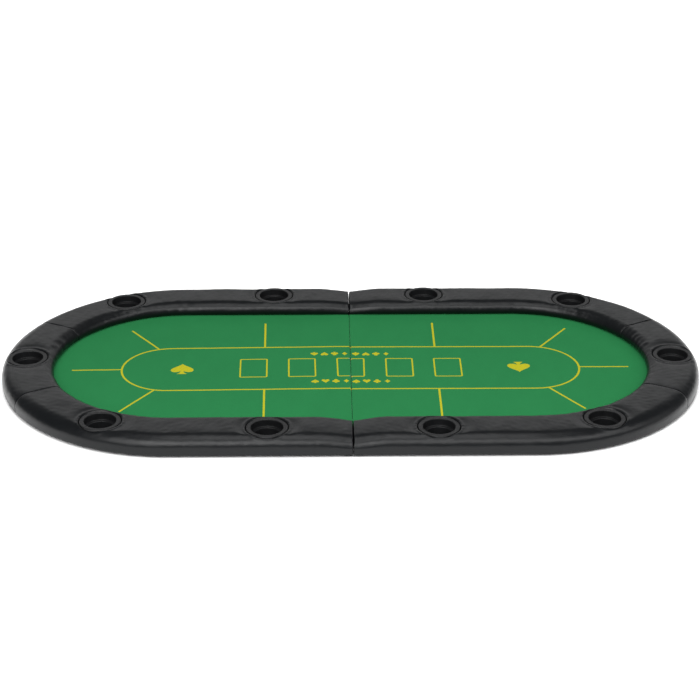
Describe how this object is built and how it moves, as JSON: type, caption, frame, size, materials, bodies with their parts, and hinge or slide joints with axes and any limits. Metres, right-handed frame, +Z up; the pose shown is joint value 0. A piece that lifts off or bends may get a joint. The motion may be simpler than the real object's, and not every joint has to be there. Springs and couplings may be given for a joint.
{
  "type": "folding poker table top",
  "caption": "Padded oval card table top in two halves hinged underneath, with a cloth playing field, an upholstered rail and lift-out cup holders.",
  "frame": {"origin": "middle of the footprint of the open top, on the surface that its feet stand on", "axes": "+X along the long side towards the half that folds under, +Y across the top to the back rail, +Z up"},
  "size_m": [2.08, 1.06, 0.0585],
  "materials": {
    "board": "matte",
    "plywood": "matte",
    "foam": "matte",
    "leathercloth": "satin",
    "underlay": "matte",
    "felt": "matte",
    "cup_plastic": "satin",
    "hinge_steel": "satin",
    "screw_steel": "satin",
    "staple_wire": "satin",
    "foot_rubber": "matte"
  },
  "bodies": {
    "left_half": {"base_board_left": "board", "rail_core_left": "plywood", "rail_foam_left": "foam", "rail_cover_front_left": "leathercloth", "rail_cover_end_left": "leathercloth", "rail_cover_back_left": "leathercloth", "felt_underlay_left": "underlay", "felt_left": "felt", "rail_screws_left": "screw_steel", "hinge_screws_left": "screw_steel", "rubber_feet_left": "foot_rubber", "foot_screws_left": "screw_steel", "staples_left": "staple_wire", "hinge_front_leaf_left": "hinge_steel", "hinge_front_pin": "hinge_steel", "hinge_middle_leaf_left": "hinge_steel", "hinge_middle_pin": "hinge_steel", "hinge_back_leaf_left": "hinge_steel", "hinge_back_pin": "hinge_steel"},
    "right_half": {"base_board_right": "board", "rail_core_right": "plywood", "rail_foam_right": "foam", "rail_cover_front_right": "leathercloth", "rail_cover_end_right": "leathercloth", "rail_cover_back_right": "leathercloth", "felt_underlay_right": "underlay", "felt_right": "felt", "rail_screws_right": "screw_steel", "hinge_screws_right": "screw_steel", "rubber_feet_right": "foot_rubber", "foot_screws_right": "screw_steel", "staples_right": "staple_wire", "hinge_front_leaf_right": "hinge_steel", "hinge_middle_leaf_right": "hinge_steel", "hinge_back_leaf_right": "hinge_steel"},
    "cup_front_left": {"cup_holder_front_left": "cup_plastic"},
    "cup_front_corner_left": {"cup_holder_front_corner_left": "cup_plastic"},
    "cup_end_left": {"cup_holder_end_left": "cup_plastic"},
    "cup_back_corner_left": {"cup_holder_back_corner_left": "cup_plastic"},
    "cup_back_left": {"cup_holder_back_left": "cup_plastic"},
    "cup_front_right": {"cup_holder_front_right": "cup_plastic"},
    "cup_front_corner_right": {"cup_holder_front_corner_right": "cup_plastic"},
    "cup_end_right": {"cup_holder_end_right": "cup_plastic"},
    "cup_back_corner_right": {"cup_holder_back_corner_right": "cup_plastic"},
    "cup_back_right": {"cup_holder_back_right": "cup_plastic"}
  },
  "joints": [
    {"name": "fold", "type": "hinge", "parent": "left_half", "child": "right_half", "pos_m": [0, 0, 0.0035], "axis": [0, 1, 0], "range_deg": [0, 180]},
    {"name": "lift_cup_front_left", "type": "slide", "parent": "left_half", "child": "cup_front_left", "axis": [0, 0, 1], "range_m": [0, 0.06]},
    {"name": "lift_cup_front_corner_left", "type": "slide", "parent": "left_half", "child": "cup_front_corner_left", "axis": [0, 0, 1], "range_m": [0, 0.06]},
    {"name": "lift_cup_end_left", "type": "slide", "parent": "left_half", "child": "cup_end_left", "axis": [0, 0, 1], "range_m": [0, 0.06]},
    {"name": "lift_cup_back_corner_left", "type": "slide", "parent": "left_half", "child": "cup_back_corner_left", "axis": [0, 0, 1], "range_m": [0, 0.06]},
    {"name": "lift_cup_back_left", "type": "slide", "parent": "left_half", "child": "cup_back_left", "axis": [0, 0, 1], "range_m": [0, 0.06]},
    {"name": "lift_cup_front_right", "type": "slide", "parent": "right_half", "child": "cup_front_right", "axis": [0, 0, 1], "range_m": [0, 0.06]},
    {"name": "lift_cup_front_corner_right", "type": "slide", "parent": "right_half", "child": "cup_front_corner_right", "axis": [0, 0, 1], "range_m": [0, 0.06]},
    {"name": "lift_cup_end_right", "type": "slide", "parent": "right_half", "child": "cup_end_right", "axis": [0, 0, 1], "range_m": [0, 0.06]},
    {"name": "lift_cup_back_corner_right", "type": "slide", "parent": "right_half", "child": "cup_back_corner_right", "axis": [0, 0, 1], "range_m": [0, 0.06]},
    {"name": "lift_cup_back_right", "type": "slide", "parent": "right_half", "child": "cup_back_right", "axis": [0, 0, 1], "range_m": [0, 0.06]}
  ]
}
